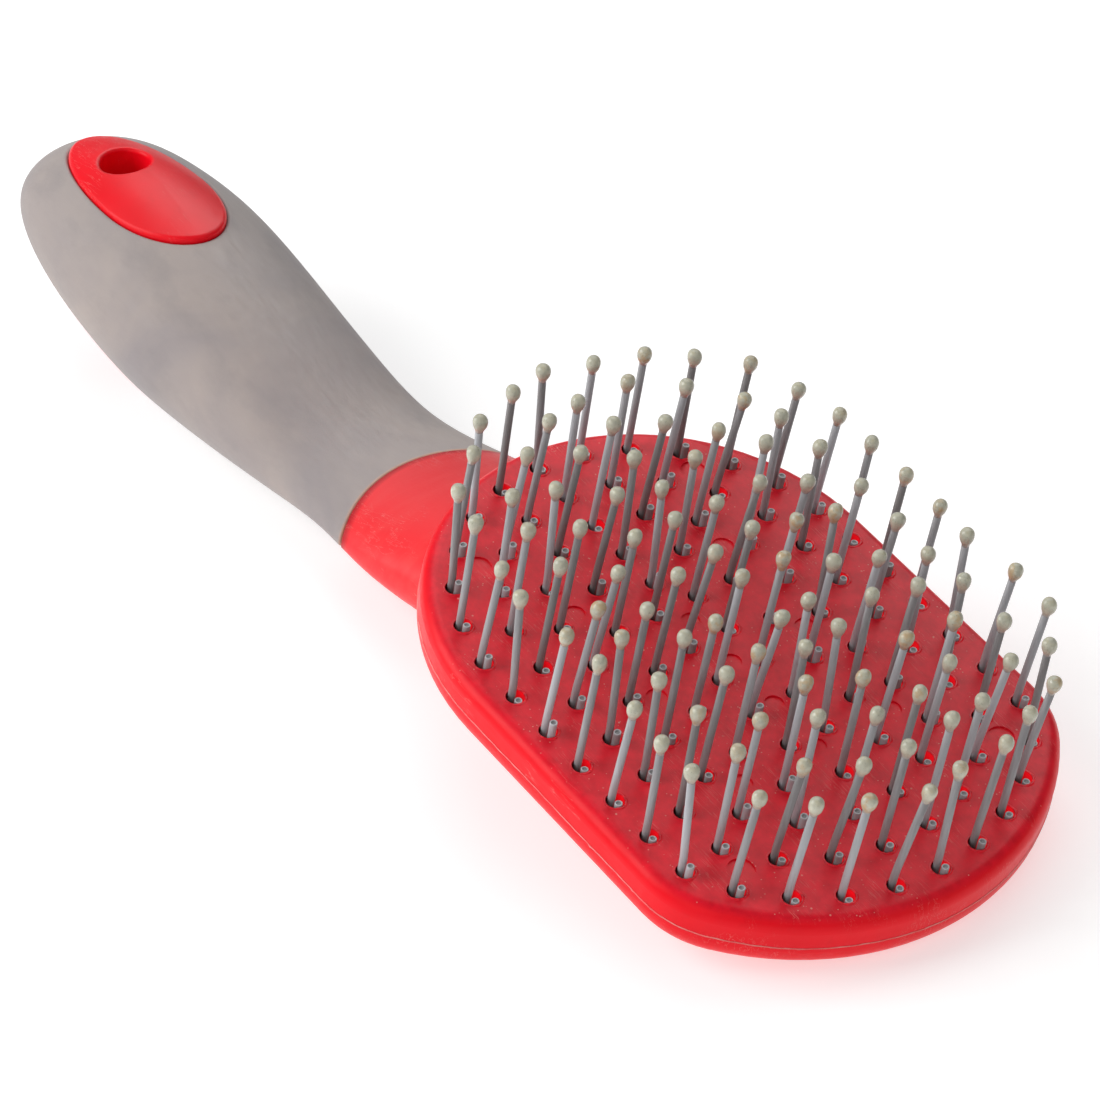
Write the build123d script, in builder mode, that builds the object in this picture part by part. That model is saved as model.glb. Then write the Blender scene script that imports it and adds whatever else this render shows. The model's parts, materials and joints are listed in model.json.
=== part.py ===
from build123d import *
import math
import os

# A bristle brush lying on its back, as it is put down: the belly of the grip and the free end of
# the head carry it, and the bristles point up. Millimetres, +Z up off the table, +X from the grip
# to the free end of the head, origin on the table under the middle of the whole brush.

# ---- how the brush lies ---------------------------------------------------------------------
REST_TILT = 12.55           # slope of the bristle face when the brush lies down, degrees
FACE_X = 65.72              # middle of the bristle face, along the table
FACE_Z = 21.01              # and its height over the table

# ---- head: a flat block with a rounded outline ----------------------------------------------
HEAD_HALF_WIDTH = 38.0
HEAD_NECK_X = -15.0         # centre of the half round at the neck
HEAD_END_X = 8.0            # centre of the flatter arc at the free end
HEAD_END_R = 45.0
HEAD_CORNER_R = 16.5        # rounds the sides into the free end
HEAD_THICKNESS = 10.6
FACE_EDGE_R = 2.4
BACK_EDGE_R = 4.4

# ---- bristle rings: each keeps one distance from the edge of the head -------------------------
RING_COUNTS = (34, 27, 21, 14, 11)
RING_INSET = 5.0            # outer ring from the edge of the head
RING_STEP = 7.25            # from one ring to the next
RING_CORNER_MIN = 2.5

# ---- one bristle: a filament folded under a wire anchor, one leg long, one cut short ----------
FILAMENT_R = 0.6
LEG_GAP = 1.6               # between the centre lines of the two legs
HOLE_R = 1.45
HOLE_DEPTH = 8.2
FOLD_Z = -6.75              # middle of the fold, from the face
LONG_LEG = 19.9             # end of the long leg over the face
STUB_MIDDLE = 1.2           # end of the cut leg over the face
STUB_SPREAD = 1.4
LEAN_MAX = 4.0              # how far the long leg leans each way, degrees
LEAN_MIN = 0.2
LEG_STRAIGHT = 16.5         # of the long leg is straight, over the bend at its foot
ANCHOR_THICK = 0.36
ANCHOR_LENGTH = 3.5
ANCHOR_HEIGHT = 1.7
SLOT_WIDTH = 0.4            # nick that the anchor cuts down the wall of its hole
SLOT_LENGTH = 3.6

# ---- one ball tip: a drop of resin over the end of the long leg -------------------------------
TIP_R = 1.2
TIP_WIDEST = 0.05           # its middle, over the end of the filament
TIP_TAIL = -2.0             # where the drop runs out down the filament
TIP_TAIL_R = 0.66

# ---- handle: distance along the brush, half width, top and underside, all from the face -------
HANDLE_STATIONS = (
    (14.0, 5.0, -8.5, -12.0),
    (0.0, 11.0, -7.0, -14.5),
    (-16.0, 15.5, -6.0, -19.5),
    (-33.0, 18.6, -6.5, -25.5),
    (-52.0, 19.2, -12.3, -31.3),
    (-64.0, 19.0, -17.8, -32.8),
    (-78.0, 17.2, -23.4, -34.4),
    (-92.0, 16.2, -25.7, -39.6),
    (-106.0, 16.7, -23.7, -44.7),
    (-120.0, 17.7, -21.2, -48.2),
    (-133.0, 18.6, -19.5, -49.8),
    (-146.0, 18.6, -19.0, -49.0),
    (-160.0, 17.1, -20.9, -46.6),
    (-170.0, 14.4, -24.0, -43.2),
    (-176.0, 10.6, -27.3, -40.7),
    (-179.2, 5.7, -30.9, -37.8),
    (-180.0, 2.0, -33.4, -35.7),
)
TANG_STATIONS = HANDLE_STATIONS[5:14]
TANG_INSET = 4.0            # soft grip over the hard tang
GRIP_EDGE_X = -78.0         # front edge of the soft grip, on top of the neck
GRIP_EDGE_R = 27.0          # that edge curves forward down both sides
HANDLE_DEPTH = 60.0         # clears the whole handle below the face
NECK_BLEND_R = 0.5          # inside corner where the neck meets the head
GRIP_LIP_R = 0.4            # rounds the soft edge at the neck

# ---- egg-shaped window in the grip and the hanging eye through it -----------------------------
WINDOW_X = -151.5           # widest place of the egg
WINDOW_HALF_WIDTH = 9.6
WINDOW_FRONT = 15.8
WINDOW_BACK = 22.5
WINDOW_LIP_R = 0.6          # rounds the soft edge round the window
EGG_CROWN = 0.9             # the hard egg in it is domed, proud of the grip along its middle
EGG_NARROW = 2.0            # and curves more steeply than the grip across it
EGG_EDGE_R = 0.9
EYE_X = -161.0
EYE_R = 4.3
EYE_RIM_R = 0.6

# ---- round marks that the ejector pins leave on the face --------------------------------------
EJECTOR_DEPTH = 0.3
EJECTOR_STEP = 10.0
EJECTOR_SMALL_R = 1.5       # along the middle
EJECTOR_MIDDLE_Y = 14.6     # between the third and fourth rings
EJECTOR_MIDDLE_R = 1.7
EJECTOR_CORNER_R = 2.1
EJECTOR_NECK_CORNER = (-35.5, 21.2)
EJECTOR_END_CORNER = (33.0, 25.4)

tilt = math.radians(REST_TILT)
FACE = Plane(
    origin=(FACE_X, 0, FACE_Z),
    x_dir=(math.cos(tilt), 0, -math.sin(tilt)),
    z_dir=(math.sin(tilt), 0, math.cos(tilt)),
)
UP = Axis(FACE.origin, FACE.z_dir)
FORWARD = Axis(FACE.origin, FACE.x_dir)


def across(x, z):
    """Plane square across the brush, its own x to the left side of the brush and its y up."""
    return Plane(origin=FACE.from_local_coords((x, 0, z)), x_dir=FACE.y_dir, z_dir=FACE.x_dir)


def scatter(index, salt):
    """Repeatable number from -1 to 1, its own for each bristle."""
    wave = math.sin(index * 12.9898 + salt * 78.233) * 43758.5453
    return 2.0 * (wave - math.floor(wave)) - 1.0


def head_outline(inset):
    """Outline of the head moved inwards, in face coordinates, starting nearest the neck."""
    side = HEAD_HALF_WIDTH - inset
    end_r = HEAD_END_R - inset
    corner = max(HEAD_CORNER_R - inset, RING_CORNER_MIN)
    corner_y = side - corner
    corner_x = HEAD_END_X + math.sqrt((end_r - corner) ** 2 - corner_y ** 2)
    turn = math.degrees(math.atan2(corner_y, corner_x - HEAD_END_X))
    return Wire([
        CenterArc((HEAD_NECK_X, 0), side, 180, -90),
        Line((HEAD_NECK_X, side), (corner_x, side)),
        CenterArc((corner_x, corner_y), corner, 90, turn - 90),
        CenterArc((HEAD_END_X, 0), end_r, turn, -2 * turn),
        CenterArc((corner_x, -corner_y), corner, -turn, turn - 90),
        Line((corner_x, -side), (HEAD_NECK_X, -side)),
        CenterArc((HEAD_NECK_X, 0), side, -90, -90),
    ])


def ring_holes(ring):
    """Numbered hole middles of one ring, evenly spaced along it."""
    outline = head_outline(RING_INSET + ring * RING_STEP)
    count = RING_COUNTS[ring]
    first = sum(RING_COUNTS[:ring])
    holes = []
    for step in range(count):
        point = outline.position_at(step / count)
        holes.append((first + step, point.X, point.Y))
    return holes


def long_leg(number, x, y):
    """Foot, middle and top of the bend, then the end of the long leg; it leaves the face square."""
    lean_x = LEAN_MAX * scatter(number, 1)
    lean_y = LEAN_MAX * scatter(number, 2)
    lean = max(math.hypot(lean_x, lean_y), LEAN_MIN)
    bend_r = (LONG_LEG - LEG_STRAIGHT) / math.sin(math.radians(lean))
    points = []
    for turn, beyond in ((0, 0), (lean / 2, 0), (lean, 0), (lean, LEG_STRAIGHT)):
        turn = math.radians(turn)
        out = bend_r * (1 - math.cos(turn)) + beyond * math.sin(turn)
        up = bend_r * math.sin(turn) + beyond * math.cos(turn)
        points.append((x - LEG_GAP / 2 + lean_x / lean * out, y + lean_y / lean * out, up))
    return points


all_holes = [hole for ring in range(len(RING_COUNTS)) for hole in ring_holes(ring)]
hole_places = [(x, y) for number, x, y in all_holes]
edge_of_head = head_outline(0.0)

# ---- shapes that the core and the grip share ---------------------------------------------------
with BuildPart() as handle:
    for x, half_width, top, underside in HANDLE_STATIONS:
        with BuildSketch(across(x, (top + underside) / 2)):
            Ellipse(half_width, (top - underside) / 2)
    loft()

with BuildPart() as tang:
    for x, half_width, top, underside in TANG_STATIONS:
        with BuildSketch(across(x, (top + underside) / 2)):
            Ellipse(half_width - TANG_INSET, (top - underside) / 2 - TANG_INSET)
    loft()

# All that lies ahead of the front edge of the grip.
with BuildPart() as ahead:
    with BuildSketch(FACE.offset(-HANDLE_DEPTH)):
        with Locations((GRIP_EDGE_X + GRIP_EDGE_R, 0)):
            Circle(GRIP_EDGE_R)
            Rectangle(100, 80, align=(Align.MIN, Align.CENTER))
    extrude(amount=HANDLE_DEPTH)

with BuildPart() as window:
    with BuildSketch(FACE.offset(-HANDLE_DEPTH)):
        with BuildLine():
            EllipticalCenterArc((WINDOW_X, 0), WINDOW_FRONT, WINDOW_HALF_WIDTH, -90, arc_size=180)
            EllipticalCenterArc((WINDOW_X, 0), WINDOW_BACK, WINDOW_HALF_WIDTH, 90, arc_size=180)
        make_face()
    extrude(amount=HANDLE_DEPTH)

with BuildPart() as neck:
    add(handle.part)
    add(ahead.part, mode=Mode.INTERSECT)

# Hard egg that fills the window from one side of the handle to the other.
with BuildPart() as egg:
    for x, half_width, top, underside in HANDLE_STATIONS[8:15]:
        with BuildSketch(across(x, (top + underside) / 2)):
            Ellipse(half_width - EGG_NARROW, (top - underside) / 2 + EGG_CROWN)
    loft()
    add(window.part, mode=Mode.INTERSECT)
    fillet(edges().filter_by(GeomType.LINE, reverse=True), EGG_EDGE_R)

# ---- core: head, neck, tang and egg in one hard moulding ---------------------------------------
with BuildPart() as core:
    with BuildSketch(FACE.offset(-HEAD_THICKNESS)):
        with BuildLine():
            add(edge_of_head)
        make_face()
    extrude(amount=HEAD_THICKNESS)
    fillet(faces().sort_by(UP)[-1].edges(), FACE_EDGE_R)
    fillet(faces().sort_by(UP)[0].edges(), BACK_EDGE_R)
    head_edges = edges()
    add(neck.part)
    neck_joint = (edges() - head_edges).sort_by(SortBy.LENGTH)[-1]
    fillet(neck_joint, NECK_BLEND_R)
    add(tang.part)
    add(egg.part)
    # hanging eye, through the egg, with rounded rims
    with BuildSketch(FACE):
        with Locations((EYE_X, 0)):
            Circle(EYE_R)
    extrude(amount=-HANDLE_DEPTH, mode=Mode.SUBTRACT)
    eye_walls = [face for face in faces().filter_by(GeomType.CYLINDER) if abs(face.radius - EYE_R) < 0.01]
    eye_rims = [edge for wall in eye_walls for edge in wall.edges() if edge.geom_type != GeomType.LINE]
    fillet(eye_rims, EYE_RIM_R)
    # blind holes for the bristles, with the nicks that the anchors cut
    with BuildSketch(FACE):
        with Locations(*hole_places):
            Circle(HOLE_R)
    extrude(amount=-HOLE_DEPTH, mode=Mode.SUBTRACT)
    with BuildSketch(FACE):
        with Locations(*hole_places):
            Rectangle(SLOT_WIDTH, SLOT_LENGTH)
    extrude(amount=FOLD_Z, mode=Mode.SUBTRACT)
    # ejector marks
    with BuildSketch(FACE):
        with Locations((EJECTOR_STEP / 2, 0)):
            with GridLocations(EJECTOR_STEP, 0, 4, 1):
                Circle(EJECTOR_SMALL_R)
        with GridLocations(2 * EJECTOR_STEP, 2 * EJECTOR_MIDDLE_Y, 3, 2):
            Circle(EJECTOR_MIDDLE_R)
        for corner_x, corner_y in (EJECTOR_NECK_CORNER, EJECTOR_END_CORNER):
            with Locations((corner_x, corner_y), (corner_x, -corner_y)):
                Circle(EJECTOR_CORNER_R)
    extrude(amount=-EJECTOR_DEPTH, mode=Mode.SUBTRACT)

# ---- grip: soft cover over the tang, open at the window ----------------------------------------
with BuildPart() as grip:
    add(handle.part)
    handle_edges = edges()
    add(ahead.part, mode=Mode.SUBTRACT)
    front_edge = (edges() - handle_edges).sort_by(FORWARD)[-1]
    fillet(front_edge, GRIP_LIP_R)
    whole_edges = edges()
    add(window.part, mode=Mode.SUBTRACT)
    fillet((edges() - whole_edges).filter_by(GeomType.LINE, reverse=True), WINDOW_LIP_R)
    add(tang.part, mode=Mode.SUBTRACT)

# ---- one drop of resin, at the end of a filament that comes up along Z -------------------------
with BuildPart() as drop:
    with BuildSketch(Plane.XZ):
        with BuildLine():
            middle = ((TIP_TAIL_R + TIP_R) / 2, (TIP_TAIL + TIP_WIDEST) / 2)
            Line((FILAMENT_R, TIP_TAIL), (TIP_TAIL_R, TIP_TAIL))
            TangentArc((TIP_TAIL_R, TIP_TAIL), middle, tangent=(0, 1))
            TangentArc((TIP_R, TIP_WIDEST), middle, tangent=(0, -1))
            CenterArc((0, TIP_WIDEST), TIP_R, 0, 90)
            Line((0, TIP_WIDEST + TIP_R), (0, 0))
            Line((0, 0), (FILAMENT_R, 0))
            Line((FILAMENT_R, 0), (FILAMENT_R, TIP_TAIL))
        make_face()
    revolve(axis=Axis.Z)

os.makedirs("parts", exist_ok=True)
core.part.label = "core"
export_step(core.part, "parts/core.step")
grip.part.label = "grip"
export_step(grip.part, "parts/grip.step")

# ---- bristles, tips and anchors, ring by ring and side by side ---------------------------------
for ring in range(len(RING_COUNTS)):
    for side, keep in (("left", lambda y: y > -0.01), ("right", lambda y: y <= -0.01)):
        holes = [hole for hole in ring_holes(ring) if keep(hole[2])]
        with BuildPart() as bristles:
            tip_planes = []
            for number, x, y in holes:
                stub = STUB_MIDDLE + STUB_SPREAD * scatter(number, 3)
                stub_x = x + LEG_GAP / 2
                foot, middle, bent, end = long_leg(number, x, y)
                with BuildLine(FACE) as path:
                    Line((stub_x, y, stub), (stub_x, y, FOLD_Z))
                    ThreePointArc((stub_x, y, FOLD_Z), (x, y, FOLD_Z - LEG_GAP / 2), (foot[0], y, FOLD_Z))
                    Line((foot[0], y, FOLD_Z), foot)
                    ThreePointArc(foot, middle, bent)
                    Line(bent, end)
                with BuildSketch(FACE.offset(stub)):
                    with Locations((stub_x, y)):
                        Circle(FILAMENT_R)
                spine = path.wire()
                sweep(path=spine)
                tip_planes.append(Plane(origin=FACE.from_local_coords(end), z_dir=spine % 1))
        with BuildPart() as tips:
            with Locations(*tip_planes):
                add(drop.part)
        with BuildPart() as anchors:
            with BuildSketch(FACE.offset(FOLD_Z)):
                with Locations(*[(x, y) for number, x, y in holes]):
                    Rectangle(ANCHOR_THICK, ANCHOR_LENGTH)
            extrude(amount=ANCHOR_HEIGHT)
        ring_name = f"ring_{ring + 1}_{side}"
        bristles.part.label = f"bristles_{ring_name}"
        export_step(bristles.part, f"parts/bristles_{ring_name}.step")
        tips.part.label = f"tips_{ring_name}"
        export_step(tips.part, f"parts/tips_{ring_name}.step")
        anchors.part.label = f"anchors_{ring_name}"
        export_step(anchors.part, f"parts/anchors_{ring_name}.step")
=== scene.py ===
import json
import math
import random

import bpy
from mathutils import Matrix, Vector


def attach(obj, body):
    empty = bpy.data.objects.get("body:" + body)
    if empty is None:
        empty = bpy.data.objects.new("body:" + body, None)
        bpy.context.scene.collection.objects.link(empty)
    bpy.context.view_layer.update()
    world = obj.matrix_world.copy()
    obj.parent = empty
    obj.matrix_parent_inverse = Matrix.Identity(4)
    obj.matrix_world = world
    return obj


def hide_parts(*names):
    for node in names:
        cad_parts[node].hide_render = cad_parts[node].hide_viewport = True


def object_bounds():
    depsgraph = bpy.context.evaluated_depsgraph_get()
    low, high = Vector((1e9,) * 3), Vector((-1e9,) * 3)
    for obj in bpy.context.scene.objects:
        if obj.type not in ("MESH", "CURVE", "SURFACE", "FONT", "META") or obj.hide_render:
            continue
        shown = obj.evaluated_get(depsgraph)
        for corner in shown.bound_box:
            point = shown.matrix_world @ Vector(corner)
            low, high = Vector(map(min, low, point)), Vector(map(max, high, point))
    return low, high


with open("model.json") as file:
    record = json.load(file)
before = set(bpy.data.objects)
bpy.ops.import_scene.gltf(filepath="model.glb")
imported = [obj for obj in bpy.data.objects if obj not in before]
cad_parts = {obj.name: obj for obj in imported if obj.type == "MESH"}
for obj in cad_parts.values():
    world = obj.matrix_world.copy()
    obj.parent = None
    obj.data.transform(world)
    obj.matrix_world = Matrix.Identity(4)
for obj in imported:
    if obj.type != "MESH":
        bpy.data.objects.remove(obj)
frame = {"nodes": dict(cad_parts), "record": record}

# A bristle brush on a pale floor. Shapes are worked out in millimetres in the frame of the bristle
# face: x from the grip to the free end of the head, y to the left side, z up out of the face.
# to_row() carries them into the row frame, in metres.

MM = 0.001
CAD_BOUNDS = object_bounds()

# ---- where the face is: the hanging eye's mount gives the slope and a point --------------------
EYE_X = -161.0
EYE_MIDDLE_Z = -33.79
eye = next(mount for mount in frame["record"]["mounts"] if mount["name"] == "hanging_eye")
face_up = Vector(eye["axis"]).normalized()
face_forward = Vector((face_up.z, 0.0, -face_up.x))
face_left = Vector((0.0, 1.0, 0.0))
face_tilt = math.atan2(face_up.x, face_up.z)
face_origin = Vector(eye["pos_m"]) - (face_forward * EYE_X + face_up * EYE_MIDDLE_Z) * MM


def to_row(x, y, z):
    """Point of the face frame, in millimetres, as a point of the row frame, in metres."""
    return face_origin + (face_forward * x + face_left * y + face_up * z) * MM


# ---- the head and its bristles, as in the CAD --------------------------------------------------
HEAD_HALF_WIDTH = 38.0
HEAD_NECK_X = -15.0
HEAD_END_X = 8.0
HEAD_END_R = 45.0
HEAD_CORNER_R = 16.5
RING_COUNTS = (34, 27, 21, 14, 11)
RING_INSET = 5.0
RING_STEP = 7.25
RING_CORNER_MIN = 2.5
HOLE_R = 1.45
FILAMENT_R = 0.6
LEG_GAP = 1.6
FOLD_Z = -6.75
LONG_LEG = 19.9
LEG_STRAIGHT = 16.5
STUB_MIDDLE = 1.2
STUB_SPREAD = 1.4
LEAN_MAX = 4.0
LEAN_MIN = 0.2
TIP_TAIL = -2.0

# ---- detail that only the looks have -----------------------------------------------------------
TUBE_SIDES = 20
DROP_SIDES = 28
BURR_SIDES = 40
BURR_WIDTH = 0.50
BURR_HEIGHT = 0.24
# lip round a hole, from its inside out: share of the width, share of the height
BURR_PROFILE = ((0.02, -0.55), (0.0, 0.35), (0.22, 0.95), (0.50, 0.85), (0.80, 0.30), (1.0, -0.12))
LINER_R = 1.42              # skin of the hole's wall
LINER_BACK_R = 1.47
LINER_DEPTH = -6.0
LIT_WALL = 1.15             # side of a hole that the light reaches, round from face x
SEAM_Z = -5.3               # parting line on the side of the head
SEAM_HEIGHT = 0.07
SEAM_HALF_WIDTH = 0.09
SEAM_NECK_Y = 19.0          # the neck covers the parting line up to here
SEAM_STEP = 0.45
GRIP_EDGE_X = -78.0
GRIP_EDGE_R = 27.0
NECK_START_X = -50.0
NECK_FADE = 20.0              # the change of look begins this far under the head
NECK_END_X = -100.0


def scatter(index, salt):
    """Repeatable number from -1 to 1, its own for each bristle; the CAD uses the same one."""
    wave = math.sin(index * 12.9898 + salt * 78.233) * 43758.5453
    return 2.0 * (wave - math.floor(wave)) - 1.0


def outline_pieces(inset):
    """Arcs and lines of the head's outline moved inwards, from the neck round by the left side."""
    side = HEAD_HALF_WIDTH - inset
    end_r = HEAD_END_R - inset
    corner = max(HEAD_CORNER_R - inset, RING_CORNER_MIN)
    corner_y = side - corner
    corner_x = HEAD_END_X + math.sqrt((end_r - corner) ** 2 - corner_y ** 2)
    turn = math.atan2(corner_y, corner_x - HEAD_END_X)
    quarter = math.pi / 2
    return [
        ("arc", HEAD_NECK_X, 0.0, side, math.pi, -quarter),
        ("line", HEAD_NECK_X, side, corner_x, side),
        ("arc", corner_x, corner_y, corner, quarter, turn - quarter),
        ("arc", HEAD_END_X, 0.0, end_r, turn, -2 * turn),
        ("arc", corner_x, -corner_y, corner, -turn, turn - quarter),
        ("line", corner_x, -side, HEAD_NECK_X, -side),
        ("arc", HEAD_NECK_X, 0.0, side, -quarter, -quarter),
    ]


def piece_length(piece):
    if piece[0] == "arc":
        return piece[3] * abs(piece[5])
    return math.hypot(piece[3] - piece[1], piece[4] - piece[2])


def along_outline(pieces, distance):
    """Point of the outline at that distance from its start, and the direction out of the head."""
    for piece in pieces:
        length = piece_length(piece)
        if distance <= length or piece is pieces[-1]:
            break
        distance -= length
    share = distance / length
    if piece[0] == "arc":
        angle = piece[4] + piece[5] * share
        out_x, out_y = math.cos(angle), math.sin(angle)
        return piece[1] + piece[3] * out_x, piece[2] + piece[3] * out_y, out_x, out_y
    out_y = math.copysign(1.0, piece[2])
    return piece[1] + (piece[3] - piece[1]) * share, piece[2], 0.0, out_y


def ring_holes(ring):
    """Numbered hole middles of one ring, evenly spaced along it."""
    pieces = outline_pieces(RING_INSET + ring * RING_STEP)
    whole = sum(piece_length(piece) for piece in pieces)
    first = sum(RING_COUNTS[:ring])
    holes = []
    for step in range(RING_COUNTS[ring]):
        x, y, _, _ = along_outline(pieces, whole * step / RING_COUNTS[ring])
        holes.append((first + step, x, y))
    return holes


# ---- meshes ------------------------------------------------------------------------------------
class Shape:
    """Vertices, faces and two shading values a vertex, gathered for one object."""

    def __init__(self):
        self.points = []
        self.faces = []
        self.along = []
        self.pick = []

    def ring(self, points, along=0.0, pick=0.0):
        """Adds the points; along is one value for them all or a list of their own."""
        start = len(self.points)
        self.points.extend(points)
        self.along.extend(along if isinstance(along, list) else [along] * len(points))
        self.pick.extend([pick] * len(points))
        return list(range(start, start + len(points)))

    def bridge(self, low, high):
        """Quads between two rings of the same number of points."""
        count = len(low)
        for i in range(count):
            j = (i + 1) % count
            self.faces.append((low[i], low[j], high[j], high[i]))

    def fan(self, ring, middle, flip=False):
        count = len(ring)
        for i in range(count):
            j = (i + 1) % count
            face = (ring[i], ring[j], middle)
            self.faces.append(face[::-1] if flip else face)

    def build(self, name, material):
        """Object of this shape, in the row frame, riding on the one body."""
        mesh = bpy.data.meshes.new(name)
        mesh.from_pydata([to_row(*point) for point in self.points], [], self.faces)
        for key, values in (("along", self.along), ("pick", self.pick)):
            attribute = mesh.attributes.new(key, "FLOAT", "POINT")
            attribute.data.foreach_set("value", values)
        mesh.shade_smooth()
        mesh.materials.append(material)
        piece = bpy.data.objects.new(name, mesh)
        bpy.context.scene.collection.objects.link(piece)
        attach(piece, "root")
        return piece


def square_axes(direction):
    """Two directions square to this one and to each other."""
    side = Vector((0.0, 1.0, 0.0)).cross(direction).normalized()
    return side, direction.cross(side)


def circle(middle, side, other, radius, count, wobble=None):
    points = []
    for i in range(count):
        angle = 2 * math.pi * i / count
        reach = radius * (wobble(angle) if wobble else 1.0)
        points.append(middle + side * (reach * math.cos(angle)) + other * (reach * math.sin(angle)))
    return points


def leg_path(number, x, y):
    """Middle line of a filament from its cut end, down, round the fold and up the long leg."""
    lean_x = LEAN_MAX * scatter(number, 1)
    lean_y = LEAN_MAX * scatter(number, 2)
    lean = max(math.hypot(lean_x, lean_y), LEAN_MIN)
    bend_r = (LONG_LEG - LEG_STRAIGHT) / math.sin(math.radians(lean))
    stub = STUB_MIDDLE + STUB_SPREAD * scatter(number, 3)
    half = LEG_GAP / 2
    path = [Vector((x + half, y, stub)), Vector((x + half, y, stub - 0.5))]
    path.append(Vector((x + half, y, min(stub - 1.0, -0.2))))
    for step in range(9):
        angle = math.pi * step / 8
        path.append(Vector((x + half * math.cos(angle), y, FOLD_Z - half * math.sin(angle))))
    path.append(Vector((x - half, y, -0.5)))
    steps = 5
    for step in range(steps + 1):
        turn = math.radians(lean) * step / steps
        out = bend_r * (1 - math.cos(turn))
        path.append(Vector((x - half + lean_x / lean * out, y + lean_y / lean * out, bend_r * math.sin(turn))))
    last = math.radians(lean)
    way = Vector((lean_x / lean * math.sin(last), lean_y / lean * math.sin(last), math.cos(last)))
    path.append(path[-1] + way * LEG_STRAIGHT)
    return path, way


# dimple and rim of a cut end: radius, depth, and the "along" value, which lightens the rim and paints shade into
# the dimple
CUT_END = (
    (0.16, 0.16, -1.0), (0.28, 0.13, -1.0), (0.38, 0.02, -0.7), (0.47, -0.03, -0.25),
    (0.56, 0.0, -0.25), (0.60, 0.08, 0.0),
)


def add_filament(shape, number, path):
    """Tube round the path. The cut end has a pinched rim and a small dimple."""
    pick = 0.5 + 0.5 * scatter(number, 4)
    directions = []
    for i in range(len(path)):
        before = path[max(i - 1, 0)]
        after = path[min(i + 1, len(path) - 1)]
        directions.append((after - before).normalized())
    side, other = square_axes(directions[0])
    slant_x = 0.10 * scatter(number, 5)
    slant_y = 0.10 * scatter(number, 6)
    rings = []
    for radius, depth, tint in CUT_END:
        points = circle(path[0] + directions[0] * depth, side, other, radius, TUBE_SIDES)
        for point in points:
            point.z += slant_x * (point.x - path[0].x) + slant_y * (point.y - path[0].y)
        rings.append(shape.ring(points, tint, pick))
    dimple = shape.ring([path[0] + directions[0] * CUT_END[0][1]], CUT_END[0][2], pick)[0]
    shape.fan(rings[0], dimple, flip=True)
    total = len(path)
    for i in range(1, total):
        side = (side - directions[i] * side.dot(directions[i])).normalized()
        other = directions[i].cross(side)
        rings.append(shape.ring(circle(path[i], side, other, FILAMENT_R, TUBE_SIDES), i / total, pick))
    for low, high in zip(rings, rings[1:]):
        shape.bridge(low, high)
    end = shape.ring([path[-1]], 1.0, pick)[0]
    shape.fan(rings[-1], end)


# outline of a drop: height over the end of the filament, radius
DROP_PROFILE = (
    (-2.00, 0.605), (-1.88, 0.625), (-1.70, 0.67), (-1.45, 0.765), (-1.20, 0.885), (-0.95, 0.995),
    (-0.68, 1.09), (-0.35, 1.165), (0.0, 1.195), (0.30, 1.175), (0.58, 1.09), (0.82, 0.945),
    (1.00, 0.75), (1.12, 0.53), (1.20, 0.28),
)
DROP_TOP = 1.23


def add_drop(shape, number, end, way):
    """Drop of resin over the end of a long leg: an egg, never quite round and never quite centred."""
    pick = 0.5 + 0.5 * scatter(number, 7)
    side, other = square_axes(way)
    stretch = 1.0 + 0.07 * scatter(number, 8)
    swell = 0.965 + 0.035 * scatter(number, 9)
    off_side = 0.09 * scatter(number, 10)
    off_other = 0.09 * scatter(number, 11)
    oval = 0.035 * scatter(number, 12)
    oval_turn = math.pi * scatter(number, 13)
    lump = 0.03 * scatter(number, 14)

    def wobble(angle):
        return 1.0 + oval * math.cos(2 * (angle - oval_turn)) + lump * math.sin(3 * angle + oval_turn)

    rings = []
    for height, radius in DROP_PROFILE:
        share = (height - TIP_TAIL) / (DROP_TOP - TIP_TAIL)
        low = height * stretch if height < 0 else height
        low = max(low, TIP_TAIL * 1.05)
        bulge = math.sin(math.pi * min(share * 1.15, 1.0))
        middle = end + way * low + (side * off_side + other * off_other) * bulge
        size = FILAMENT_R + (radius - FILAMENT_R) * swell if height < -0.5 else radius * swell
        rings.append(shape.ring(circle(middle, side, other, size, DROP_SIDES, wobble), share, pick))
    for low, high in zip(rings, rings[1:]):
        shape.bridge(low, high)
    shape.fan(rings[-1], shape.ring([end + way * DROP_TOP], 1.0, pick)[0])
    # the underside closes on the filament
    inner = shape.ring(circle(end + way * (TIP_TAIL * stretch + 0.1), side, other, 0.5, DROP_SIDES), 0.0, pick)
    shape.bridge(inner, rings[0])
    floor_point = shape.ring([end + way * (TIP_TAIL * stretch + 0.1)], 0.0, pick)[0]
    shape.fan(inner, floor_point, flip=True)


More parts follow.
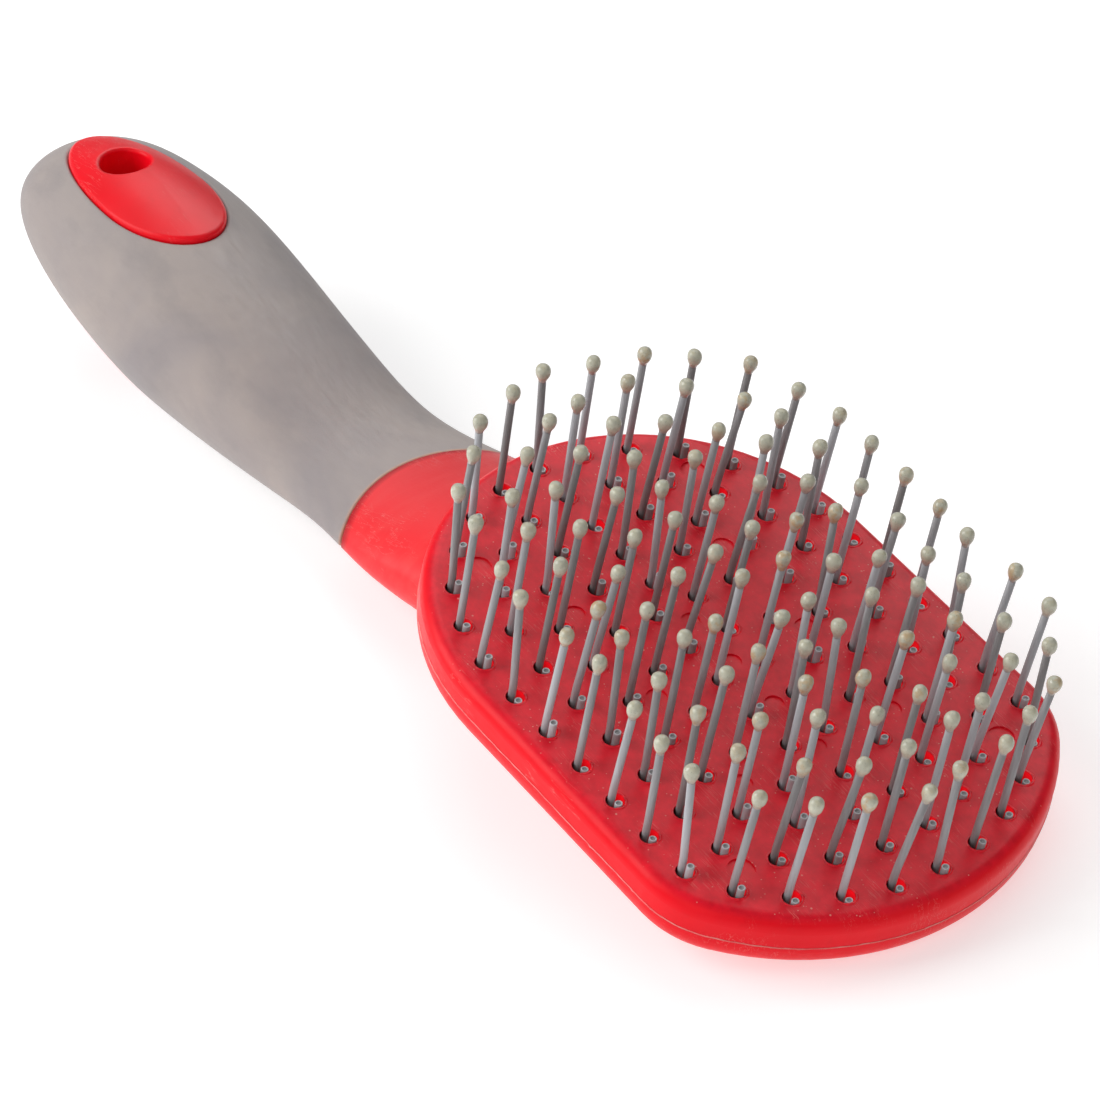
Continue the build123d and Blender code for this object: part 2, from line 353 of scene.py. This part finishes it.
def add_burr(shape, number, x, y):
    """Lip of plastic pushed up round a hole: highest past the cut leg, torn at the anchor's nicks."""
    def lip(angle):
        high = 0.55 + 0.45 * math.cos(angle - 0.5 - 0.7 * scatter(number, 20))
        ragged = 0.5 + 0.28 * math.sin(5 * angle + 6 * scatter(number, 21))
        ragged += 0.22 * math.sin(11 * angle + 9 * scatter(number, 22))
        nick = min(abs(math.cos(angle)) / 0.22, 1.0)
        return (0.12 + 0.88 * high * ragged) * (0.25 + 0.75 * nick)

    # painted light and shade of the hole's wall, handed to the material as along
    lit = [0.5 + 0.5 * math.cos(2 * math.pi * i / BURR_SIDES - LIT_WALL) for i in range(BURR_SIDES)]
    rings = []
    for share, lift in BURR_PROFILE:
        points = []
        for i in range(BURR_SIDES):
            angle = 2 * math.pi * i / BURR_SIDES
            strength = lip(angle)
            reach = HOLE_R + BURR_WIDTH * share * (0.65 + 0.5 * strength)
            if share < 0.1:
                reach = HOLE_R - 0.02 - 0.06 * strength
            rise = BURR_HEIGHT * (lift * strength if lift > 0 else lift)
            points.append(Vector((x + reach * math.cos(angle), y + reach * math.sin(angle), rise)))
        rings.append(shape.ring(points, lit, 0.5 + 0.5 * scatter(number, 23)))
    # a skin down the wall of the hole, closed against the block behind it; it carries the painted glow and the
    # painted light and shade of the wall
    axes = (Vector((1.0, 0.0, 0.0)), Vector((0.0, 1.0, 0.0)))
    skin = ((-0.4, LINER_BACK_R), (LINER_DEPTH, LINER_BACK_R),
            (LINER_DEPTH, LINER_R), (-1.6, LINER_R), (-0.5, LINER_R))
    for depth, reach in skin:
        middle = Vector((x, y, depth))
        rings.append(shape.ring(circle(middle, *axes, reach, BURR_SIDES), lit, 0.5))
    for low, high in zip(rings, rings[1:] + rings[:1]):
        shape.bridge(high, low)


def add_seam(shape):
    """Fine ridge where the mould halves met, round the side of the head, with a nib here and there."""
    pieces = outline_pieces(0.0)
    whole = sum(piece_length(piece) for piece in pieces)
    chance = random.Random(11)
    rings = []
    distance = 0.0
    while distance < whole:
        x, y, out_x, out_y = along_outline(pieces, distance)
        if abs(y) > SEAM_NECK_Y or x > 0:
            nib = 1.0 + (2.2 * chance.random() if chance.random() < 0.035 else 0.35 * chance.random())
            height = SEAM_HEIGHT * nib
            drift = 0.05 * math.sin(distance * 0.31) + 0.03 * math.sin(distance * 1.7)
            ring = []
            for out, up in ((-0.15, -1.4), (0.35, -0.8), (1.0, -0.15), (0.9, 0.35), (0.3, 0.9), (-0.15, 1.4)):
                reach = height * out
                ring.append(Vector((
                    x + out_x * reach,
                    y + out_y * reach,
                    SEAM_Z + drift + SEAM_HALF_WIDTH * up,
                )))
            rings.append(shape.ring(ring))
        distance += SEAM_STEP
    for low, high in zip(rings, rings[1:]):
        shape.bridge(low, high)
    shape.faces.append(tuple(reversed(rings[0])))
    shape.faces.append(tuple(rings[-1]))


# ---- materials ---------------------------------------------------------------------------------
class Material:
    """A Principled material and short ways to add nodes to it."""

    def __init__(self, name):
        self.material = bpy.data.materials.new(name)
        self.material.use_nodes = True
        self.tree = self.material.node_tree
        self.shader = self.tree.nodes["Principled BSDF"]

    def node(self, kind, inputs=None, **settings):
        node = self.tree.nodes.new(kind)
        for key, value in settings.items():
            setattr(node, key, value)
        for key, value in (inputs or {}).items():
            self.feed(node.inputs[key], value)
        return node

    def feed(self, socket, value):
        """Links a socket to an output, or sets its value."""
        if isinstance(value, bpy.types.NodeSocket):
            self.tree.links.new(value, socket)
        else:
            socket.default_value = value

    def set(self, **inputs):
        for key, value in inputs.items():
            self.feed(self.shader.inputs[key.replace("_", " ")], value)

    def place(self, stretch=(1.0, 1.0, 1.0)):
        """Place on the object in millimetres of the face frame, each axis times its stretch."""
        where = self.node("ShaderNodeTexCoord").outputs["Object"]
        mapping = self.node("ShaderNodeMapping", vector_type="TEXTURE")
        mapping.inputs["Location"].default_value = face_origin
        mapping.inputs["Rotation"].default_value = (0.0, face_tilt, 0.0)
        mapping.inputs["Scale"].default_value = tuple(MM / s for s in stretch)
        self.feed(mapping.inputs["Vector"], where)
        return mapping.outputs["Vector"]

    def noise(self, scale, detail=3.0, roughness=0.55, stretch=(1.0, 1.0, 1.0), distortion=0.0):
        """Cloudy pattern; scale is in patches to the millimetre."""
        return self.node("ShaderNodeTexNoise", {
            "Vector": self.place(stretch), "Scale": scale, "Detail": detail,
            "Roughness": roughness, "Distortion": distortion,
        }).outputs["Fac"]

    def dots(self, scale, radius, softness=0.5):
        """1 inside sparse round specks, 0 outside; scale in cells to the millimetre."""
        distance = self.node("ShaderNodeTexVoronoi", {
            "Vector": self.place(), "Scale": scale, "Randomness": 1.0,
        }).outputs["Distance"]
        return self.span(distance, radius, radius * softness)

    def span(self, value, start, end, low=0.0, high=1.0):
        """Value from start to end as low to high, held at both ends."""
        return self.node("ShaderNodeMapRange", {
            "Value": value, "From Min": start, "From Max": end, "To Min": low, "To Max": high,
        }).outputs["Result"]

    def mix(self, share, low, high):
        """Colour mix; low and high are colours or outputs."""
        node = self.node("ShaderNodeMix", data_type="RGBA")
        self.feed(node.inputs["Factor"], share)
        for socket, value in ((node.inputs[6], low), (node.inputs[7], high)):
            self.feed(socket, value if isinstance(value, bpy.types.NodeSocket) else (*value, 1.0))
        return node.outputs[2]

    def math(self, operation, first, second=0.0, clamp=False):
        node = self.node("ShaderNodeMath", operation=operation, use_clamp=clamp)
        self.feed(node.inputs[0], first)
        self.feed(node.inputs[1], second)
        return node.outputs[0]

    def attribute(self, name):
        return self.node("ShaderNodeAttribute", attribute_name=name).outputs["Fac"]

    def bump(self, height, depth_mm, below=None):
        """Bump of this depth; below is the normal of a coarser bump under it."""
        node = self.node("ShaderNodeBump", {"Height": height, "Distance": depth_mm * MM, "Strength": 1.0})
        if below is not None:
            self.feed(node.inputs["Normal"], below)
        return node.outputs["Normal"]


def from_grip_edge(m):
    """Distance from the front edge of the grip, in millimetres, and the place it was taken at."""
    place = m.node("ShaderNodeSeparateXYZ", {"Vector": m.place()}).outputs
    from_middle = m.math("SUBTRACT", place["X"], GRIP_EDGE_X + GRIP_EDGE_R)
    squares = m.math("ADD", m.math("POWER", from_middle, 2.0), m.math("POWER", place["Y"], 2.0))
    return m.math("ABSOLUTE", m.math("SUBTRACT", m.math("SQRT", squares), GRIP_EDGE_R)), place


def hard_red():
    """Red moulded plastic, satin, with flow clouding, fine rubbing and a few pale specks; painted shade darkens
    the neck along the grip's edge and on its far side, and the face under the bristles.
    """
    m = Material("hard_red")
    cloud = m.noise(0.045, 4.0, 0.6)
    patches = m.noise(0.35, 5.0, 0.65)
    colour = m.mix(m.span(cloud, 0.35, 0.68), (0.79, 0.002, 0.010), (0.88, 0.003, 0.014))
    colour = m.mix(m.span(patches, 0.55, 0.80, 0.0, 0.35), colour, (0.66, 0.002, 0.009))
    specks = m.math("MULTIPLY", m.dots(0.42, 0.085), m.span(m.noise(0.09, 2.0), 0.46, 0.54))
    from_edge, place = from_grip_edge(m)
    on_neck = m.math("MULTIPLY", m.span(place["X"], NECK_START_X + NECK_FADE, NECK_START_X),
                     m.math("GREATER_THAN", place["X"], NECK_END_X))
    on_neck = m.math("MULTIPLY", on_neck, m.span(place["Z"], -8.0, -12.0))
    colour = m.mix(on_neck, colour, (0.87, 0.032, 0.040))
    # painted shade: a dark band on the neck along the grip's front edge, where the grip shades the joint
    painted_grip_edge_shade = m.math("MULTIPLY", m.span(from_edge, 1.3, 0.2, 0.0, 0.75), on_neck)
    colour = m.mix(painted_grip_edge_shade, colour, (0.28, 0.006, 0.012))
    # painted shade: the neck darker towards its far side, away from the key light
    painted_far_side_shade = m.math("MULTIPLY", m.span(place["Y"], -8.0, 16.0, 0.0, 0.55), on_neck)
    colour = m.mix(painted_far_side_shade, colour, (0.55, 0.006, 0.016))
    flow = m.noise(0.30, 3.0, 0.5, stretch=(1.6, 0.22, 1.0), distortion=0.3)
    flow = m.math("MULTIPLY", m.span(flow, 0.45, 0.70, 0.0, 0.22), on_neck)
    colour = m.mix(flow, colour, (0.90, 0.10, 0.09))
    on_face = m.span(place["Z"], -0.75, -0.20)
    # the face a deeper, more crimson red, darker in patches: partly its own tone, partly painted shade from the
    # bristles
    face_tone_and_shade = m.mix(m.span(patches, 0.38, 0.72), (0.81, 0.011, 0.028), (0.62, 0.006, 0.018))
    colour = m.mix(on_face, colour, face_tone_and_shade)
    fine_specks = m.math("MULTIPLY", m.dots(1.1, 0.14), m.span(m.noise(0.16, 2.0), 0.46, 0.58))
    specks = m.math("MULTIPLY", m.math("ADD", specks, fine_specks, clamp=True), on_face)
    colour = m.mix(m.math("MULTIPLY", specks, 0.85), colour, (0.80, 0.36, 0.30))
    rub = m.noise(1.4, 4.0, 0.7, stretch=(0.25, 1.6, 1.0))
    scratch = m.span(m.math("ABSOLUTE", m.math("SUBTRACT", m.noise(0.5, 3.0, 0.6, stretch=(0.12, 2.2, 1.0)), 0.5)), 0.012, 0.0)
    scratch = m.math("MULTIPLY", scratch, m.span(m.noise(0.12, 2.0), 0.52, 0.62))
    colour = m.mix(m.math("MULTIPLY", scratch, 0.5), colour, (0.85, 0.22, 0.20))
    roughness = m.span(rub, 0.3, 0.75, 0.30, 0.44)
    fine = m.noise(5.0, 3.0, 0.6)
    waves = m.noise(0.16, 2.0, 0.5)
    normal = m.bump(waves, 0.10)
    height = m.math("ADD", m.math("MULTIPLY", fine, 0.5), rub)
    height = m.math("SUBTRACT", height, m.math("MULTIPLY", scratch, 0.8))
    normal = m.bump(height, 0.012, normal)
    m.set(Base_Color=colour, Roughness=roughness, Normal=normal, IOR=1.49,
          Specular_IOR_Level=m.span(on_face, 0.0, 1.0, 0.17, 0.08),
          Subsurface_Weight=0.15, Subsurface_Radius=(0.004, 0.0006, 0.0006), Subsurface_Scale=1.0)
    return m.material


def hole_red():
    """The same plastic in and round the holes, with a painted glow and painted light and shade on the walls: the
    side the key light reaches is painted bright and glows, the rest is painted dark.
    """
    m = Material("hole_red")
    place = m.node("ShaderNodeSeparateXYZ", {"Vector": m.place()})
    lit = m.attribute("along")
    inside = m.span(place.outputs["Z"], 0.08, -0.12)
    # painted glow: emission on the lit side of the hole's wall, standing in for light through the plastic
    painted_glow = m.math("MULTIPLY", m.span(place.outputs["Z"], -4.5, -0.5), inside)
    painted_glow = m.math("MULTIPLY", painted_glow, m.span(lit, 0.35, 0.90, 0.0, 0.50))
    ragged = m.noise(1.6, 3.0, 0.6)
    lip = m.mix(m.span(ragged, 0.35, 0.7), (0.70, 0.008, 0.022), (0.84, 0.014, 0.030))
    # painted light and shade: the wall bright on its lit side, dark on the other
    wall = m.mix(m.span(lit, 0.15, 0.75), (0.30, 0.003, 0.008), (0.90, 0.004, 0.014))
    m.set(Base_Color=m.mix(inside, lip, wall), Roughness=0.34, IOR=1.49, Specular_IOR_Level=0.2,
          Emission_Color=(1.0, 0.008, 0.016, 1.0), Emission_Strength=painted_glow, Normal=m.bump(ragged, 0.05))
    return m.material


def seam_red():
    """Thin flash at the parting line: the same plastic with a painted highlight, lighter in patches, for the light
    the flash catches.
    """
    m = Material("seam_red")
    # painted highlight: the seam coloured lighter, in patches
    painted_light_patches = m.noise(0.5, 3.0, 0.6)
    m.set(Base_Color=m.mix(m.span(painted_light_patches, 0.35, 0.7), (0.93, 0.11, 0.11), (0.95, 0.30, 0.28)),
          Roughness=0.42, IOR=1.49,
          Subsurface_Weight=0.40, Subsurface_Radius=(0.006, 0.0006, 0.0006), Subsurface_Scale=1.0)
    return m.material


def soft_grip():
    """Warm grey elastomer, matt, blotched by handling, with a painted tan highlight along its front edge at the
    neck.
    """
    m = Material("soft_grip")
    blotch = m.noise(0.035, 4.0, 0.55, distortion=0.6)
    stain = m.noise(0.11, 5.0, 0.6, stretch=(0.7, 1.2, 1.0))
    colour = m.mix(m.span(blotch, 0.36, 0.66), (0.278, 0.245, 0.246), (0.362, 0.307, 0.283))
    colour = m.mix(m.span(stain, 0.52, 0.78, 0.0, 0.60), colour, (0.240, 0.215, 0.212))
    from_edge, _ = from_grip_edge(m)
    # painted highlight: a thin tan band along the grip's front edge, where the edge catches the light
    tan = m.math("MULTIPLY", m.span(from_edge, 0.80, 0.25), m.span(m.noise(0.5, 4.0, 0.7), 0.30, 0.50, 0.35, 0.95))
    colour = m.mix(tan, colour, (0.58, 0.33, 0.22))
    grain = m.noise(7.0, 2.0, 0.5)
    dents = m.noise(0.28, 3.0, 0.5)
    scuffs = m.noise(0.9, 4.0, 0.75, stretch=(0.2, 1.3, 1.0), distortion=0.4)
    normal = m.bump(dents, 0.06)
    normal = m.bump(m.math("ADD", grain, m.math("MULTIPLY", scuffs, 0.6)), 0.02, normal)
    m.set(Base_Color=colour, Roughness=m.span(scuffs, 0.35, 0.75, 0.60, 0.78), Normal=normal, IOR=1.45,
          Sheen_Weight=0.12, Sheen_Roughness=0.5)
    return m.material


def filament():
    """Grey nylon, drawn, a little see-through."""
    m = Material("filament")
    streak = m.noise(2.6, 3.0, 0.6, stretch=(1.0, 1.0, 0.06))
    shade = m.math("ADD", m.math("MULTIPLY", streak, 0.4), m.math("MULTIPLY", m.attribute("pick"), 0.6))
    colour = m.mix(m.span(shade, 0.22, 0.78), (0.190, 0.175, 0.175), (0.410, 0.414, 0.436))
    along = m.attribute("along")
    # cut end: a lighter rim, and painted shade darkening the dimple
    colour = m.mix(m.span(along, -0.02, -0.25, 0.0, 0.7), colour, (0.50, 0.50, 0.52))
    colour = m.mix(m.span(along, -0.5, -0.9, 0.0, 0.8), colour, (0.13, 0.125, 0.13))
    normal = m.bump(streak, 0.03)
    m.set(Base_Color=colour, Roughness=m.span(streak, 0.3, 0.7, 0.38, 0.50), Normal=normal, IOR=1.53,
          Subsurface_Weight=0.05, Subsurface_Radius=(0.0006, 0.0006, 0.0006), Subsurface_Scale=1.0)
    return m.material


def tip_resin():
    """Pale green-grey resin, greyer down the filament, some drops stained tan."""
    m = Material("tip_resin")
    pick = m.attribute("pick")
    along = m.attribute("along")
    cloud = m.noise(0.9, 3.0, 0.6)
    colour = m.mix(m.span(cloud, 0.35, 0.7), (0.42, 0.415, 0.33), (0.56, 0.555, 0.445))
    colour = m.mix(m.span(along, 0.30, 0.02, 0.0, 0.85), colour, (0.33, 0.345, 0.335))
    stained = m.math("MULTIPLY", m.span(pick, 0.62, 0.95), m.span(m.noise(0.7, 2.0), 0.46, 0.62))
    colour = m.mix(m.math("MULTIPLY", stained, 0.6), colour, (0.50, 0.30, 0.12))
    crown = m.math("MULTIPLY", m.span(along, 0.78, 1.0, 0.0, 0.45), m.span(cloud, 0.42, 0.62))
    colour = m.mix(crown, colour, (0.42, 0.36, 0.20))
    speck = m.span(m.noise(4.5, 2.0, 0.5), 0.64, 0.70, 0.0, 0.55)
    colour = m.mix(speck, colour, (0.20, 0.19, 0.14))
    pits = m.noise(2.2, 3.0, 0.7)
    normal = m.bump(pits, 0.03)
    m.set(Base_Color=colour, Roughness=m.span(pits, 0.3, 0.7, 0.13, 0.27), Normal=normal, IOR=1.5,
          Subsurface_Weight=0.10, Subsurface_Radius=(0.0008, 0.0007, 0.0006), Subsurface_Scale=1.0)
    return m.material


def anchor_wire():
    """Drawn aluminium strip."""
    m = Material("anchor_wire")
    lines = m.noise(3.0, 3.0, 0.6, stretch=(1.0, 0.1, 1.0))
    m.set(Base_Color=m.mix(lines, (0.62, 0.62, 0.63), (0.78, 0.78, 0.79)), Metallic=1.0,
          Roughness=m.span(lines, 0.3, 0.7, 0.28, 0.45), Normal=m.bump(lines, 0.01))
    return m.material


def pale_floor():
    m = Material("pale_floor")
    cloud = m.noise(0.004, 2.0)
    m.set(Base_Color=m.mix(cloud, (0.62, 0.62, 0.62), (0.64, 0.64, 0.64)), Roughness=0.75,
          Emission_Color=(1.0, 1.0, 1.0, 1.0), Emission_Strength=0.52)
    return m.material


# ---- the pieces --------------------------------------------------------------------------------
materials = {
    "hard_red": hard_red(),
    "soft_grip": soft_grip(),
    "filament": filament(),
    "tip_resin": tip_resin(),
    "anchor_wire": anchor_wire(),
}


def dress(node, slot):
    """Gives a CAD node that stays its own material."""
    mesh = frame["nodes"][node].data
    mesh.materials.clear()
    mesh.materials.append(materials[slot])


dress("core", "hard_red")
dress("grip", "soft_grip")
for node in frame["nodes"]:
    if node.startswith("anchors"):
        dress(node, "anchor_wire")

burrs = Shape()
for ring in range(len(RING_COUNTS)):
    for side_name, wanted in (("left", True), ("right", False)):
        ring_name = f"ring_{ring + 1}_{side_name}"
        filaments = Shape()
        drops = Shape()
        for number, x, y in ring_holes(ring):
            if (y > -0.01) != wanted:
                continue
            path, way = leg_path(number, x, y)
            add_filament(filaments, number, path)
            add_drop(drops, number, path[-1], way)
            add_burr(burrs, number, x, y)
        piece = filaments.build(f"filaments_{ring_name}", materials["filament"])
        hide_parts(f"bristles_{ring_name}")
        piece = drops.build(f"drops_{ring_name}", materials["tip_resin"])
        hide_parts(f"tips_{ring_name}")
burrs.build("hole_burrs", hole_red())

seam = Shape()
add_seam(seam)
seam.build("mould_seam", seam_red())

# ---- floor, light and camera -------------------------------------------------------------------
FLOOR_SIZE = 6.0
floor_mesh = bpy.data.meshes.new("floor")
floor_z = CAD_BOUNDS[0][2]
corners = [(-1, -1), (1, -1), (1, 1), (-1, 1)]
floor_mesh.from_pydata([(FLOOR_SIZE * x, FLOOR_SIZE * y, floor_z) for x, y in corners], [], [(0, 1, 2, 3)])
floor_mesh.materials.append(pale_floor())
floor = bpy.data.objects.new("floor", floor_mesh)
bpy.context.scene.collection.objects.link(floor)


def softbox(name, place, target, size, power):
    """Square area light at a place in the row frame, turned to the target."""
    light = bpy.data.lights.new(name, "AREA")
    light.shape = "SQUARE"
    light.size = size
    light.energy = power
    lamp = bpy.data.objects.new(name, light)
    lamp.location = place
    lamp.rotation_euler = (Vector(target) - Vector(place)).to_track_quat("-Z", "Y").to_euler()
    bpy.context.scene.collection.objects.link(lamp)
    return lamp


# The camera's place and turn, in the face frame.
CAMERA_PLACE = (312.8, -354.3, 468.1)
CAMERA_BELOW = math.radians(43.798)     # how far it looks down onto the face
CAMERA_TURN = math.radians(45.068)      # its right-hand side, from face x towards face y
CAMERA_ROLL = math.radians(10.416)
CAMERA_LENS = 144.97


def add_camera():
    right = Vector((math.cos(CAMERA_TURN), math.sin(CAMERA_TURN), 0.0))
    level = math.cos(CAMERA_BELOW)
    ahead = Vector((-math.sin(CAMERA_TURN) * level, math.cos(CAMERA_TURN) * level, -math.sin(CAMERA_BELOW)))
    down = ahead.cross(right)
    rolled_right = right * math.cos(CAMERA_ROLL) - down * math.sin(CAMERA_ROLL)
    rolled_down = right * math.sin(CAMERA_ROLL) + down * math.cos(CAMERA_ROLL)
    axes = []
    for axis in (rolled_right, -rolled_down, -ahead):
        axes.append(face_forward * axis.x + face_left * axis.y + face_up * axis.z)
    data = bpy.data.cameras.new("camera")
    data.lens = CAMERA_LENS
    data.sensor_width = 36.0
    camera = bpy.data.objects.new("camera", data)
    turn = Matrix((axes[0], axes[1], axes[2])).transposed().to_4x4()
    camera.matrix_world = Matrix.Translation(to_row(*CAMERA_PLACE)) @ turn
    bpy.context.scene.collection.objects.link(camera)
    bpy.context.scene.camera = camera


add_camera()
middle = (0.0, 0.0, 0.02)
softbox("key", (-0.62, -0.85, 0.70), middle, 0.9, 13.5)
softbox("fill", (0.95, 0.15, 0.75), middle, 1.2, 2.0)
softbox("back", (-0.5, 0.6, 1.1), middle, 1.4, 5.0)
softbox("haze", (-0.5, 0.6, 1.1), middle, 1.4, 32.0).visible_diffuse = False
softbox("front", (0.55, -0.95, 0.55), middle, 0.9, 2.5)
world = bpy.data.worlds.new("studio")
world.use_nodes = True
world.node_tree.nodes["Background"].inputs["Color"].default_value = (1.0, 1.0, 1.0, 1.0)
world.node_tree.nodes["Background"].inputs["Strength"].default_value = 0.18
bpy.context.scene.world = world
bpy.context.scene.view_settings.view_transform = "Standard"
